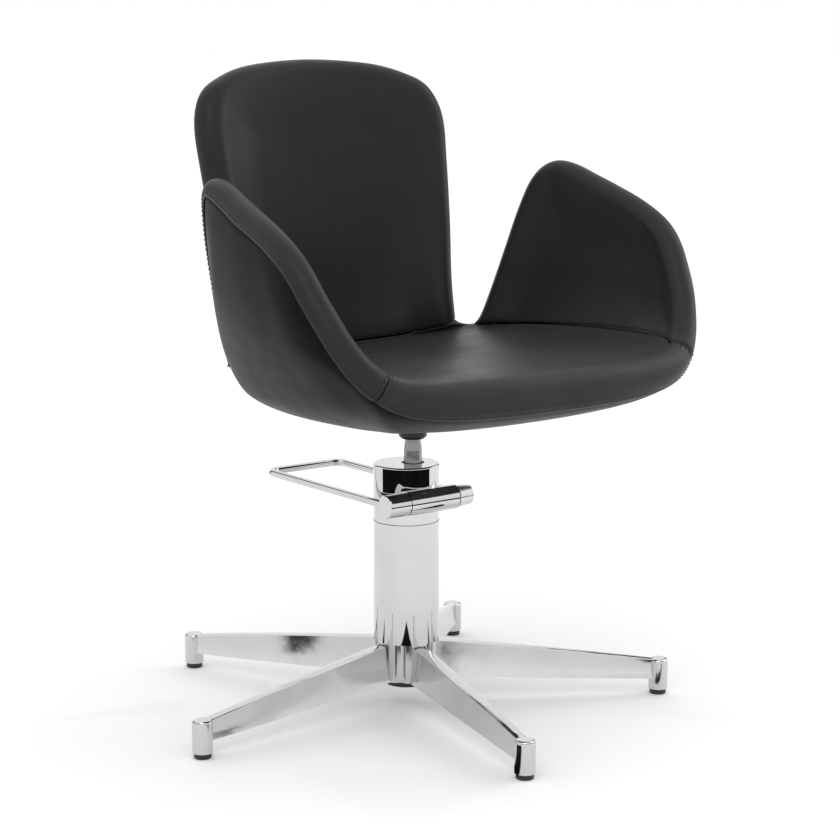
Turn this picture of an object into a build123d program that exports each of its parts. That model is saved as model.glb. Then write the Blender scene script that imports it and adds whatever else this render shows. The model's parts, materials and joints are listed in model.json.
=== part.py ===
from build123d import *
from math import atan2, degrees, hypot, sqrt
import os

# Styling chair, millimetres. +Z is up, -Y is the way the sitter faces, +X is the sitter's left.
# The origin is where the column's axis meets the floor. The lift is modelled fully down.

# ---- star base ----
ARM_COUNT = 5
ARM_TURN = -12.4  # degrees from -Y to the first arm
FOOT_RADIUS = 316.5
HUB_R, HUB_BOTTOM, HUB_TOP = 38.0, 34.0, 82.0
BOSS_R, BOSS_BOTTOM, BOSS_TOP = 12.0, 6.5, 45.0
GLIDE_R, STEM_R, STEM_TOP = 10.2, 4.0, 20.0

# ---- column and pump ----
COLUMN_R, COLUMN_WALL = 40.0, 1.6
HEAD_BOTTOM, HEAD_TOP = 231.0, 301.0
TANK_R, TANK_WALL = 37.0, 3.0
SPIGOT_R, NUT_R, NUT_BOTTOM = 24.0, 27.0, 26.0
ROD_X, ROD_Y, ROD_R = 7.5, -3.5, 11.0  # the lifting rod stands off the column's axis
LINER_R, PISTON_R, GUIDE_R = 16.0, 13.0, 14.0
FLOOR_THICK = 10.0  # the pump's bottom flange
ROD_PIN_R, ROD_FOOT = 5.0, 114.0
FIT = 0.05  # radial running clearance

# ---- foot lever ----
SHAFT_Y, SHAFT_Z, SHAFT_R, BUSH_R = -42.0, 261.0, 8.0, 10.0
HOUSING_R, HOUSING_LEFT, HOUSING_RIGHT = 15.0, 39.0, -33.0
KNUCKLE_R, KNUCKLE_END = 14.0, 63.0
LEVER_HALF_WIDTH, LEVER_REACH, LEVER_ROD_R, LEVER_BEND = 55.6, 219.0, 4.8, 14.0
CAM_X, CAM_ARM, CAM_NOSE_R, CAM_HALF, CAM_WEB = -10.0, 15.0, 3.0, 4.0, 3.6
PLUNGER_R, CAM_RING_R = 4.0, 10.2
SET_SCREW_X, SET_SCREW_R = 50.0, 3.0

# ---- seat fixing ----
SOCKET_R, SOCKET_BOTTOM = 17.0, 331.0
PAN_BOTTOM, PAN_WALL = 366.0, 8.0
PLATE_SIZE, PLATE_THICK = 134.0, 6.0
BOLT_SPACING, BOLT_R, BOLT_HEAD_R = 100.0, 4.0, 6.5

# ---- upholstered shell ----
GAP = 0.4  # between neighbouring soft pieces
RIM_Z = 410.0  # where the arms and the back stand on the pan
CUSHION_TOP = 452.0
ARM_HALF, BACK_HALF = 17.0, 22.0  # half the padded thickness
CORE_HALF = 3.5
COVER_THICK = 8.0
# Right half of the shell's outline at the height of the seat, from the back's middle to the front's
OUTLINE = [(0, 182), (100, 165), (163, 128), (194, 97), (228, 30), (249, -85), (247, -200), (224, -256),
           (160, -282), (0, -292)]
# How much of that outline the pan's underside has at each height
PAN_LEVELS = [(366, 0.52), (372, 0.64), (380, 0.755), (392, 0.87), (410, 0.94)]
# Height, then the middle of the padding at the rear end and at the front end, then the bulge between them
ARM_LEVELS = [
    (RIM_Z + GAP, (172, 92), (200, -225), 30),
    (445, (190, 73), (226, -236), 27),
    (490, (207, 66), (249, -217), 20),
    (540, (222, 57), (265, -186), 14),
    (580, (233, 50), (271, -155), 10),
    (606, (240, 43), (270, -120), 7),
    (626, (245, 36), (266, -82), 5),
    (641, (249, 30), (261, -42), 3),
    (650, (251, 24), (257, -8), 2),
]
# Height, then half the width between the middles of the padding's side edges
BACK_LEVELS = [(RIM_Z + GAP, 128), (451, 146), (500, 151), (575, 158), (663, 165), (718, 166), (740, 160), (752, 149),
               (762, 128), (770, 102), (776, 70), (779, 42)]
BACK_FOOT_Z, BACK_FOOT_Y, BACK_LEAN = 451.0, 160.0, 0.155  # the middle of the back, and its lean as a slope
BACK_CURVE, BACK_FLATTEN = 275.0, 0.9  # radius in plan at the foot, and its growth per mm of height


def cylinder(radius, low, high, x=0.0, y=0.0):
    """A vertical cylinder between two heights."""
    return Pos(x, y, low) * Cylinder(radius, high - low, align=(Align.CENTER, Align.CENTER, Align.MIN))


def tube(outer, inner, low, high, x=0.0, y=0.0):
    """A vertical tube between two heights."""
    return cylinder(outer, low, high, x, y) - cylinder(inner, low - 1, high + 1, x, y)


def cross_bar(radius, right, left, y=SHAFT_Y, z=SHAFT_Z):
    """A round bar along X between two values of X, on the lever's axis unless told otherwise."""
    bar = Cylinder(radius, left - right, align=(Align.CENTER, Align.CENTER, Align.MIN))
    return Pos(right, y, z) * Rot(0, 90, 0) * bar


def around(shape, count=ARM_COUNT, start=ARM_TURN):
    """Copies of a shape, evenly turned about the column's axis."""
    return [Rot(0, 0, start + 360 / count * i) * shape for i in range(count)]


def joined(shapes):
    """One shape from several that touch."""
    result = shapes[0]
    for shape in shapes[1:]:
        result = result + shape
    return result


def without(body, shapes):
    """A body with several shapes cut out of it."""
    for shape in shapes:
        body = body - shape
    return body


# ================= star base =================
def arm_section(distance, top, bottom, top_half, bottom_half):
    """The star arm's section at a distance from the axis: a crowned blade with hollow flanks."""
    waist = bottom + 0.45 * (top - bottom)
    waist_half = 0.5 * (top_half + bottom_half) - 0.8
    with BuildSketch(Plane(origin=(0, -distance, 0), x_dir=(1, 0, 0), z_dir=(0, -1, 0))) as section:
        with BuildLine():
            ThreePointArc((-top_half, top), (0, top + 1.4), (top_half, top))
            ThreePointArc((top_half, top), (waist_half, waist), (bottom_half, bottom))
            Line((bottom_half, bottom), (-bottom_half, bottom))
            ThreePointArc((-bottom_half, bottom), (-waist_half, waist), (-top_half, top))
        make_face()
    return section.sketch


def base_star():
    """Hub, five arms and their foot bosses, cast as one piece."""
    blade = loft([
        arm_section(SPIGOT_R + 2, HUB_TOP - 2, HUB_BOTTOM + 1, 9.0, 12.0),
        arm_section(170.0, 63.0, 27.0, 7.6, 10.0),
        arm_section(FOOT_RADIUS - 3, BOSS_TOP - 2, 20.0, 6.6, 8.0),
    ])
    boss = cylinder(BOSS_R, BOSS_BOTTOM, BOSS_TOP)
    boss = fillet(boss.edges().group_by(Axis.Z)[-1], 4.0)
    foot = Pos(0, -FOOT_RADIUS, 0) * boss
    hub = cylinder(HUB_R, HUB_BOTTOM, HUB_TOP)
    flute = cylinder(9.0, HUB_BOTTOM - 1, HUB_TOP + 1, 0, -HUB_R - 5.5)
    hub = without(hub, around(flute, start=ARM_TURN + 180 / ARM_COUNT))
    star = joined([hub] + around(blade + foot))
    stem_hole = Pos(0, -FOOT_RADIUS, 0) * cylinder(STEM_R, 0, STEM_TOP)
    return without(star, [cylinder(SPIGOT_R, HUB_BOTTOM - 5, HUB_TOP + 5)] + around(stem_hole))


def foot_glides():
    """Black plastic pads under the foot bosses."""
    pad = cylinder(GLIDE_R, 0, BOSS_BOTTOM)
    pad = chamfer(pad.edges().group_by(Axis.Z)[0], 0.8) - cylinder(STEM_R, 2, BOSS_BOTTOM + 1)
    return Compound(around(Pos(0, -FOOT_RADIUS, 0) * pad))


def glide_stems():
    """The threaded stems that hold the glides in the arms."""
    return Compound(around(Pos(0, -FOOT_RADIUS, 0) * cylinder(STEM_R, 2, STEM_TOP)))


# ================= column and pump =================
def pump_foot():
    """The pump's bottom flange, with the spigot that goes down through the star's hub."""
    return cylinder(TANK_R, HUB_TOP, HUB_TOP + FLOOR_THICK) + cylinder(SPIGOT_R, NUT_BOTTOM + 2, HUB_TOP)


def base_nut():
    """The black nut under the hub, closed from below."""
    return cylinder(NUT_R, NUT_BOTTOM, HUB_BOTTOM) - cylinder(SPIGOT_R, NUT_BOTTOM + 2, HUB_BOTTOM + 1)


def pump_tank():
    return tube(TANK_R, TANK_R - TANK_WALL, HUB_TOP + FLOOR_THICK, HEAD_BOTTOM)


def column_sleeve():
    """The polished tube that hides the pump."""
    return tube(COLUMN_R, COLUMN_R - COLUMN_WALL, HUB_TOP, HEAD_BOTTOM)


def pump_head():
    """The polished cap with the lever's cross housing, bored for the rod, the shaft and the plunger."""
    head = cylinder(COLUMN_R, HEAD_BOTTOM, HEAD_TOP)
    head = fillet(head.edges().group_by(Axis.Z)[-1], 2.0)
    head = head + cross_bar(HOUSING_R, HOUSING_RIGHT, HOUSING_LEFT)
    cam_depth, cam_height = CAM_ARM + 8, 23.0
    return without(head, [
        cross_bar(BUSH_R, HOUSING_RIGHT - 1, HOUSING_LEFT + 1),
        cross_bar(BUSH_R + 2.5, CAM_X - CAM_HALF - 1, CAM_X + CAM_HALF + 1),
        Pos(CAM_X, SHAFT_Y + cam_depth / 2, SHAFT_Z) * Box(2 * CAM_HALF + 2, cam_depth, cam_height),
        cylinder(PLUNGER_R + FIT, HEAD_BOTTOM - 1, SHAFT_Z, CAM_X, SHAFT_Y + CAM_ARM),
        cylinder(LINER_R, HEAD_BOTTOM - 1, HEAD_TOP - 31, ROD_X, ROD_Y),
        cylinder(GUIDE_R, HEAD_BOTTOM, HEAD_TOP + 1, ROD_X, ROD_Y),
    ])


def cylinder_liner():
    return tube(LINER_R, PISTON_R + FIT, HUB_TOP + FLOOR_THICK, HEAD_TOP - 31, ROD_X, ROD_Y)


def piston():
    """The piston, with a groove for its seal and a hole for the rod's pin."""
    low = HUB_TOP + FLOOR_THICK + 1
    body = cylinder(PISTON_R, low, ROD_FOOT - 2, ROD_X, ROD_Y)
    groove = tube(PISTON_R + 1, PISTON_R - 2, low + 3, low + 7, ROD_X, ROD_Y)
    return without(body, [groove, cylinder(ROD_PIN_R + FIT, low + 8, ROD_FOOT, ROD_X, ROD_Y)])


def piston_seal():
    low = HUB_TOP + FLOOR_THICK + 4
    return tube(PISTON_R, PISTON_R - 2, low, low + 4, ROD_X, ROD_Y)


def thrust_washer():
    """The washer that lets the rod turn on the piston."""
    return tube(ROD_R - 1, ROD_PIN_R + FIT, ROD_FOOT - 2, ROD_FOOT, ROD_X, ROD_Y)


def piston_rod():
    """The rod, with its pin down in the piston and its taper up in the seat's socket."""
    profile = [(0, ROD_FOOT - 10), (ROD_PIN_R, ROD_FOOT - 10), (ROD_PIN_R, ROD_FOOT + FIT),
               (ROD_R, ROD_FOOT + FIT), (ROD_R, 317), (9.8, 326), (9.0, 362), (0, 362)]
    with BuildPart() as rod:
        with BuildSketch(Plane.XZ):
            with BuildLine():
                Polyline(*profile, close=True)
            make_face()
        revolve(axis=Axis.Z)
    return Pos(ROD_X, ROD_Y, 0) * rod.part


def rod_guide():
    return tube(GUIDE_R, ROD_R + FIT, HEAD_TOP - 31, HEAD_TOP - 3, ROD_X, ROD_Y)


def rod_seal():
    """The black wiper ring in the cap's top face."""
    return tube(GUIDE_R, ROD_R + FIT, HEAD_TOP - 3, HEAD_TOP - 0.5, ROD_X, ROD_Y)


def plunger():
    """The small pumping plunger that the cam presses."""
    return cylinder(PLUNGER_R, HEAD_BOTTOM + 5, SHAFT_Z - CAM_NOSE_R - 0.4, CAM_X, SHAFT_Y + CAM_ARM)


# ================= foot lever =================
def lever_shaft():
    return cross_bar(SHAFT_R, -KNUCKLE_END + 4, KNUCKLE_END - 4)


def shaft_bush(right, left):
    return cross_bar(BUSH_R, right, left) - cross_bar(SHAFT_R + FIT, right - 1, left + 1)


def pump_cam():
    """A ring on the lever's shaft with a rounded nose over the plunger."""
    right, left = CAM_X - CAM_HALF, CAM_X + CAM_HALF
    arm = Pos(CAM_X, SHAFT_Y + CAM_ARM / 2, SHAFT_Z) * Box(2 * CAM_HALF, CAM_ARM, CAM_WEB)
    nose = cross_bar(CAM_NOSE_R, right, left, y=SHAFT_Y + CAM_ARM)
    return cross_bar(CAM_RING_R, right, left) + arm + nose - cross_bar(SHAFT_R, right - 1, left + 1)


def foot_lever():
    """The bent rod that the foot presses, behind the column."""
    start = SHAFT_Y + SHAFT_R + 2
    path = FilletPolyline(
        (-LEVER_HALF_WIDTH, start, SHAFT_Z), (-LEVER_HALF_WIDTH, LEVER_REACH, SHAFT_Z),
        (LEVER_HALF_WIDTH, LEVER_REACH, SHAFT_Z), (LEVER_HALF_WIDTH, start, SHAFT_Z),
        radius=LEVER_BEND)
    return sweep(Plane(origin=path @ 0, z_dir=path % 0) * Circle(LEVER_ROD_R), path=path)


def knuckle_holes(side):
    """The shaft's blind bore, the lever rod's hole and the set screw's hole in one knuckle."""
    rod_hole = Cylinder(LEVER_ROD_R, 20, align=(Align.CENTER, Align.CENTER, Align.MIN))
    x = side * LEVER_HALF_WIDTH
    return [
        cross_bar(SHAFT_R, *sorted((side * (HOUSING_R + 10), side * (KNUCKLE_END - 4)))),
        Pos(x, SHAFT_Y + SHAFT_R + 2, SHAFT_Z) * Rot(-90, 0, 0) * rod_hole,
        cylinder(SET_SCREW_R, SHAFT_Z - KNUCKLE_R - 1, SHAFT_Z - SHAFT_R / 2, side * SET_SCREW_X, SHAFT_Y),
    ]


def near_knuckle():
    knuckle = cross_bar(KNUCKLE_R, -KNUCKLE_END, HOUSING_RIGHT - 0.4)
    knuckle = chamfer(knuckle.edges().group_by(Axis.X)[0], 1.0)
    return without(knuckle, knuckle_holes(-1))


def far_knuckle():
    """The knuckle on the sitter's left, slightly tapered to its end."""
    length = KNUCKLE_END - HOUSING_LEFT - 2.2
    cone = Cone(KNUCKLE_R, KNUCKLE_R - 1.8, length, align=(Align.CENTER, Align.CENTER, Align.MIN))
    knuckle = Pos(HOUSING_LEFT + 2.2, SHAFT_Y, SHAFT_Z) * Rot(0, 90, 0) * cone
    knuckle = fillet(knuckle.edges().group_by(Axis.X)[-1], 1.5)
    return without(knuckle, knuckle_holes(1))


def shaft_ring():
    """The black ring between the housing and the far knuckle."""
    right, left = HOUSING_LEFT + 0.2, HOUSING_LEFT + 1.9
    return cross_bar(KNUCKLE_R + 0.4, right, left) - cross_bar(SHAFT_R + FIT, right - 1, left + 1)


def lever_set_screws():
    low, high = SHAFT_Z - KNUCKLE_R + 1.5, SHAFT_Z - SHAFT_R - 0.1
    return Compound([cylinder(SET_SCREW_R, low, high, side * SET_SCREW_X, SHAFT_Y) for side in (-1, 1)])


# ================= seat fixing =================
def seat_socket():
    """The black boss that takes the rod's taper."""
    socket = cylinder(SOCKET_R, SOCKET_BOTTOM, PAN_BOTTOM + PAN_WALL, ROD_X, ROD_Y)
    socket = chamfer(socket.edges().group_by(Axis.Z)[0], 3.0)
    return socket - piston_rod()


def plate_holes(radius, low, high):
    half = BOLT_SPACING / 2
    return [cylinder(radius, low, high, ROD_X + x, ROD_Y + y) for x in (-half, half) for y in (-half, half)]


def mount_plate():
    """The steel plate on the socket, inside the shell."""
    low = PAN_BOTTOM + PAN_WALL
    plate = Pos(ROD_X, ROD_Y, low + PLATE_THICK / 2) * Box(PLATE_SIZE, PLATE_SIZE, PLATE_THICK)
    plate = fillet(plate.edges().filter_by(Axis.Z), 16.0)
    return without(plate, plate_holes(BOLT_R, low - 1, low + PLATE_THICK + 1))


def mount_bolts():
    """Four bolts from the plate down through the pan's floor."""
    low, seat = PAN_BOTTOM, PAN_BOTTOM + PAN_WALL + PLATE_THICK
    shanks = plate_holes(BOLT_R, low, seat)
    heads = plate_holes(BOLT_HEAD_R, seat, seat + 4.0)
    return Compound([shank + head for shank, head in zip(shanks, heads)])


# ================= upholstered shell =================
def outline_face(height, scale):
    """The shell's outline at one height, as a share of its size at the seat."""
    right = [(x * scale, y * scale) for x, y in OUTLINE]
    left = [(-x, y) for x, y in right[-2:0:-1]]
    with BuildSketch(Plane.XY.offset(height)) as sketch:
        with BuildLine():
            Spline(*right, *left, periodic=True)
        make_face()
    return sketch.sketch


def pan_hollow():
    """The room inside the pan's wall, open at the top."""
    inner = [(z + PAN_WALL, share - 0.035) for z, share in PAN_LEVELS[:-1]] + [(RIM_Z + 1, 0.908)]
    return loft([outline_face(z, share) for z, share in inner])


def seat_pan():
    """The moulded shell under the seat."""
    pan = loft([outline_face(z, share) for z, share in PAN_LEVELS]) - pan_hollow()
    pan = pan - cylinder(SOCKET_R, PAN_BOTTOM - 1, PAN_BOTTOM + PAN_WALL + 1, ROD_X, ROD_Y)
    return without(pan, plate_holes(BOLT_R, PAN_BOTTOM - 1, PAN_BOTTOM + PAN_WALL + 1))


def bottom_cover():
    """The thin black sheet under the pan."""
    low, high = PAN_BOTTOM - 2.6, PAN_BOTTOM - 0.1
    cover = loft([outline_face(low, 0.50), outline_face(high, 0.518)])
    return cover - cylinder(SOCKET_R + 0.3, low - 1, high + 1, ROD_X, ROD_Y)


def curved_slab_face(height, start, end, bulge, near, far, overhang):
    """A slab's plan at one height: two arcs beside the arc from start to end, near and far from its middle line."""
    (x0, y0), (x1, y1) = start, end
    chord = hypot(x1 - x0, y1 - y0)
    radius = (chord ** 2 / 4 + bulge ** 2) / (2 * bulge)
    out = ((y0 - y1) / chord, (x1 - x0) / chord)  # the side that the slab bulges to
    mid = ((x0 + x1) / 2 + out[0] * bulge, (y0 + y1) / 2 + out[1] * bulge)
    centre = Vector(mid[0] - out[0] * radius, mid[1] - out[1] * radius)
    half_turn = degrees(2 * atan2(2 * bulge, chord) + overhang / radius)

    def point(distance, turn):
        return centre + Vector(*out).rotate(Axis.Z, turn) * (radius + distance)

    with BuildSketch(Plane.XY.offset(height)) as sketch:
        with BuildLine():
            ThreePointArc(point(near, half_turn), point(near, 0), point(near, -half_turn))
            Line(point(near, -half_turn), point(far, -half_turn))
            ThreePointArc(point(far, -half_turn), point(far, 0), point(far, half_turn))
            Line(point(far, half_turn), point(near, half_turn))
        make_face()
    return sketch.sketch


def arm_slab(near, far, overhang):
    """A layer of the arm on the sitter's left, near to far from the padding's middle."""
    return loft([curved_slab_face(z, rear, front, bulge, near, far, overhang)
                 for z, rear, front, bulge in ARM_LEVELS])


def back_slab(near, far, overhang):
    """A layer of the back, near to far from the padding's middle."""
    faces = []
    for z, half in BACK_LEVELS:
        radius = BACK_CURVE + BACK_FLATTEN * (z - BACK_FOOT_Z)
        sag = radius - sqrt(radius ** 2 - half ** 2)
        y = BACK_FOOT_Y + BACK_LEAN * (z - BACK_FOOT_Z) - sag
        faces.append(curved_slab_face(z, (-half, y), (half, y), sag, near, far, overhang))
    return loft(faces)


def seat_cushion():
    """The seat's padding: it fills the pan, and rises between the arms and the back to the front nose."""
    low = PAN_BOTTOM + PAN_WALL + PLATE_THICK + 6
    filling = loft([outline_face(low, 0.66), outline_face(398, 0.80), outline_face(RIM_Z, 0.90)])
    top = loft([outline_face(RIM_Z, 0.935), outline_face(430, 0.99), outline_face(CUSHION_TOP, 0.975)])
    arm_room = arm_slab(-ARM_HALF - 3 * GAP, 2 * ARM_HALF, 14)
    back_room = back_slab(-BACK_HALF - 3 * GAP, 2 * BACK_HALF, 19)
    top = without(top, [arm_room, mirror(arm_room, Plane.YZ), back_room])
    return filling + top.solids().sort_by(SortBy.VOLUME)[-1]


def layers(slab, half, overhang):
    """The inner padding, the stiff core and the outer padding of an arm or the back."""
    outer = half - COVER_THICK
    return (slab(-half, outer - 2 * CORE_HALF - 2 * GAP, overhang),
            slab(outer - 2 * CORE_HALF - GAP, outer - GAP, overhang - 4),
            slab(outer, half, overhang))


def build():
    """Every node of the chair by name."""
    left_arm = layers(arm_slab, ARM_HALF, 12)
    back = layers(back_slab, BACK_HALF, 17)
    nodes = {
        "base_star": base_star(), "foot_glides": foot_glides(), "glide_stems": glide_stems(),
        "base_nut": base_nut(), "pump_foot": pump_foot(), "pump_tank": pump_tank(),
        "column_sleeve": column_sleeve(), "pump_head": pump_head(), "cylinder_liner": cylinder_liner(),
        "rod_guide": rod_guide(), "rod_seal": rod_seal(),
        "shaft_bush_near": shaft_bush(HOUSING_RIGHT, CAM_X - CAM_HALF - 1),
        "shaft_bush_far": shaft_bush(CAM_X + CAM_HALF + 1, HOUSING_LEFT),
        "piston": piston(), "piston_seal": piston_seal(), "thrust_washer": thrust_washer(),
        "piston_rod": piston_rod(), "plunger": plunger(),
        "lever_shaft": lever_shaft(), "pump_cam": pump_cam(), "foot_lever": foot_lever(),
        "near_knuckle": near_knuckle(), "far_knuckle": far_knuckle(), "shaft_ring": shaft_ring(),
        "lever_set_screws": lever_set_screws(),
        "seat_socket": seat_socket(), "mount_plate": mount_plate(), "mount_bolts": mount_bolts(),
        "seat_pan": seat_pan(), "bottom_cover": bottom_cover(), "seat_cushion": seat_cushion(),
    }
    for name, solid in zip(("padding", "core", "cover"), left_arm):
        nodes["left_arm_" + name] = solid
        nodes["right_arm_" + name] = mirror(solid, Plane.YZ)
    for name, solid in zip(("padding", "core", "cover"), back):
        nodes["back_" + name] = solid
    return nodes


os.makedirs("parts", exist_ok=True)
for node, shape in build().items():
    export_step(shape, f"parts/{node}.step")
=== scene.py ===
import json
import math

import bpy
import numpy as np
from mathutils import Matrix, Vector

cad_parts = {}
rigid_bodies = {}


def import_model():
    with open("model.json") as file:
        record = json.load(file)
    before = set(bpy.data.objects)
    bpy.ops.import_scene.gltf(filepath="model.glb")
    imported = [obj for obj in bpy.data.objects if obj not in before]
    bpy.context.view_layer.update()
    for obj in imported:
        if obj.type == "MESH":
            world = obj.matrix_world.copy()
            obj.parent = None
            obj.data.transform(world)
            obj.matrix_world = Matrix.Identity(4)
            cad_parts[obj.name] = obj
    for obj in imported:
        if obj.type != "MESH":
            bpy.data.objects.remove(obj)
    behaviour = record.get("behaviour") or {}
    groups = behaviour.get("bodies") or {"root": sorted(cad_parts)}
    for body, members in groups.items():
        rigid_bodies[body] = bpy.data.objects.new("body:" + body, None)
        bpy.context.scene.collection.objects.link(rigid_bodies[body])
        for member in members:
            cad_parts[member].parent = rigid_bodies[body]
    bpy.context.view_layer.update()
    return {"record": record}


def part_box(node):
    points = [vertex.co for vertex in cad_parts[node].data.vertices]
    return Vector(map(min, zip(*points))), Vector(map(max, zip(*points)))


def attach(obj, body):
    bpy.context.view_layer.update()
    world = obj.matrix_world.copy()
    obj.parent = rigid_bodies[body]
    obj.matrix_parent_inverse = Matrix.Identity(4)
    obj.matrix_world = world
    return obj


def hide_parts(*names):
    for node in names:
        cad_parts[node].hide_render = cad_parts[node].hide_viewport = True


# The looks of a salon styling chair. Metres, +Z up, -Y the way the sitter faces, +X the sitter's left.

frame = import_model()

# ---- the shell's back, as a curved wall ----
BELT_Z = 0.451
BACK_MID_Y, BACK_LEAN = 0.160, 0.155  # middle of the back at the belt, and its slope
BACK_CURVE, BACK_FLATTEN = 0.275, 0.9  # radius in plan at the belt, and how it grows with height
# Rim of the back from the middle of its top to its left foot, as X and Z
BACK_RIM = [(0.0, 0.761), (0.050, 0.759), (0.098, 0.7535), (0.134, 0.7425), (0.1545, 0.730),
            (0.1645, 0.701), (0.1625, 0.650), (0.1565, 0.575), (0.149, 0.510), (0.1455, 0.468)]
BACK_RIM_R = 0.0195
# Rim from the notch behind the left arm, round the arm and along the seat's nose to its middle:
# the middle of the rim, the way its padded side faces, its radius, and the angle at which its leather ends
REST_OF_RIM = [
    ((0.1485, 0.1180, 0.4430), (-0.55, -0.75, 0.30), 0.0180, -80),
    ((0.1590, 0.1090, 0.4330), (-0.25, -0.40, 0.88), 0.0165, -55),
    ((0.1720, 0.0970, 0.4295), (0.00, 0.00, 1.00), 0.0155, -40),
    ((0.1825, 0.0850, 0.4345), (-0.30, -0.12, 0.93), 0.0150, -55),
    ((0.1890, 0.0760, 0.4460), (-0.62, -0.25, 0.72), 0.0150, -75),
    ((0.1965, 0.0720, 0.4640), (-0.80, -0.32, 0.45), 0.0150, -88),
    ((0.2105, 0.0660, 0.5050), (-0.88, -0.32, 0.33), 0.0150, -90),
    ((0.2215, 0.0590, 0.5440), (-0.90, -0.30, 0.31), 0.0150, -90),
    ((0.2325, 0.0510, 0.5850), (-0.90, -0.28, 0.31), 0.0150, -90),
    ((0.2430, 0.0385, 0.6225), (-0.91, -0.24, 0.30), 0.0152, -90),
    ((0.2520, 0.0215, 0.6390), (-0.93, -0.18, 0.30), 0.0155, -90),
    ((0.2575, -0.0040, 0.6365), (-0.94, -0.12, 0.30), 0.0160, -90),
    ((0.2615, -0.0350, 0.6255), (-0.95, -0.05, 0.30), 0.0165, -90),
    ((0.2655, -0.0650, 0.6145), (-0.95, 0.00, 0.30), 0.0170, -90),
    ((0.2690, -0.1090, 0.5985), (-0.95, 0.08, 0.30), 0.0170, -90),
    ((0.2705, -0.1455, 0.5800), (-0.94, 0.15, 0.31), 0.0170, -90),
    ((0.2685, -0.1680, 0.5600), (-0.94, 0.18, 0.32), 0.0170, -90),
    ((0.2640, -0.1855, 0.5350), (-0.93, 0.20, 0.34), 0.0170, -90),
    ((0.2576, -0.2015, 0.5110), (-0.92, 0.20, 0.37), 0.0170, -90),
    ((0.2485, -0.2155, 0.4865), (-0.88, 0.18, 0.44), 0.0170, -88),
    ((0.2355, -0.2290, 0.4635), (-0.75, 0.14, 0.65), 0.0175, -80),
    ((0.2165, -0.2415, 0.4440), (-0.48, 0.08, 0.87), 0.0187, -68),
    ((0.1865, -0.2520, 0.4305), (-0.22, 0.02, 0.97), 0.0215, -56),
    ((0.1390, -0.2595, 0.4240), (-0.08, 0.00, 0.99), 0.0245, -48),
    ((0.0700, -0.2640, 0.4220), (0.00, 0.00, 1.00), 0.0262, -45),
    ((0.0, -0.2650, 0.4215), (0.00, 0.00, 1.00), 0.0264, -45),
]
BACK_FOOT, NOTCH_LOW, ARM_SEAM, ARM_TIP, ARM_CREST, CROSS_SEAM = 0, 2, 3, 10, 15, 21  # places in that list
BACK_CORNER = 4  # the place in BACK_RIM where its top turns down into its side
# Seams on the sitter's side
SEAT_BACK_SEAM = [(0.0, 0.152, 0.430), (0.050, 0.149, 0.431), (0.100, 0.136, 0.435)]
ARM_SEAT_SEAM = [(0.1905, 0.050, 0.4500), (0.1985, 0.010, 0.4545), (0.2075, -0.055, 0.4590),
                 (0.2140, -0.120, 0.4615), (0.2150, -0.180, 0.4630), (0.2140, -0.222, 0.4625)]
# The belt on the outside, where the arms and the back run on into the bowl under the seat
ARM_BELT = [(0.213, 0.070, 0.443), (0.233, 0.015, 0.449), (0.249, -0.060, 0.454), (0.2565, -0.130, 0.457),
            (0.2555, -0.190, 0.4565)]
BACK_BELT = [(0.150, 0.145, 0.438), (0.100, 0.167, 0.438), (0.050, 0.178, 0.438), (0.0, 0.181, 0.438)]
# The bowl's foot, as shares of the belt line, and its height
BASE_SHARE_X, BASE_SHARE_Y, BASE_Z = 0.455, 0.495, 0.3690
SKIN, OUTER_SKIN = 0.006, 0.003  # thickness of the leather with its backing foam
SEAM_DIP, SEAM_REACH = 0.0013, 0.005  # how deep a seam lies, and how far out it pulls the leather down
WELD = 2e-5
BODY = "seat"


# ================= curves and grids =================
def lengths(line):
    """Distance along a line at each of its points."""
    return np.r_[0, np.cumsum(np.linalg.norm(np.diff(line, axis=0), axis=1))]


def at_lengths(at, length, line):
    """Rows of a line at distances along it."""
    return np.stack([np.interp(at, length, column) for column in line.T], axis=1)


def dense_curve(points, per=24):
    """A smooth line through points of any width, its lengths, and the indices of its knots."""
    p = np.array(points, float)
    q = np.vstack([2 * p[0] - p[1], p, 2 * p[-1] - p[-2]])
    t = np.linspace(0, 1, per, endpoint=False)[:, None]
    rows = [0.5 * (2 * b + (c - a) * t + (2 * a - 5 * b + 4 * c - d) * t ** 2
                   + (3 * b - a - 3 * c + d) * t ** 3)
            for a, b, c, d in zip(q[:-3], q[1:-2], q[2:-1], q[3:])]
    line = np.vstack([*rows, p[-1:]])
    return line, lengths(line[:, :3]), per * np.arange(len(p))


def sample(line, length, low, high, share):
    """Points of a dense line at shares of the way between two of its indices."""
    return at_lengths(length[low] + (length[high] - length[low]) * np.asarray(share), length, line)


def through(points, share):
    line, length, _ = dense_curve(points)
    return sample(line, length, 0, -1, share)


def even(count):
    return np.linspace(0, 1, count)


NEAR_SEAM, PAST_SEAM = np.array([0.0, 0.006, 0.014, 0.03]), 0.055


def packed(count):
    """Shares from 0 to 1 that start close together, for a crisp seam."""
    return np.r_[NEAR_SEAM, np.linspace(PAST_SEAM, 1, count - len(NEAR_SEAM))]


def packed_both(count):
    """Shares from 0 to 1 that are close together at both ends."""
    middle = np.linspace(PAST_SEAM, 1 - PAST_SEAM, count - 2 * len(NEAR_SEAM))
    return np.r_[NEAR_SEAM, middle, 1 - NEAR_SEAM[::-1]]


def patch(bottom, top, left, right, s, t):
    """A Coons surface between four lines: [t, s] from bottom to top and from left to right."""
    s, t = s[None, :, None], t[:, None, None]
    corners = ((1 - s) * (1 - t) * bottom[0] + s * (1 - t) * bottom[-1]
               + (1 - s) * t * top[0] + s * t * top[-1])
    return (1 - t) * bottom[None] + t * top[None] + (1 - s) * left[:, None] + s * right[:, None] - corners


def unit(v):
    return v / np.maximum(np.linalg.norm(v, axis=-1, keepdims=True), 1e-12)


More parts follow.
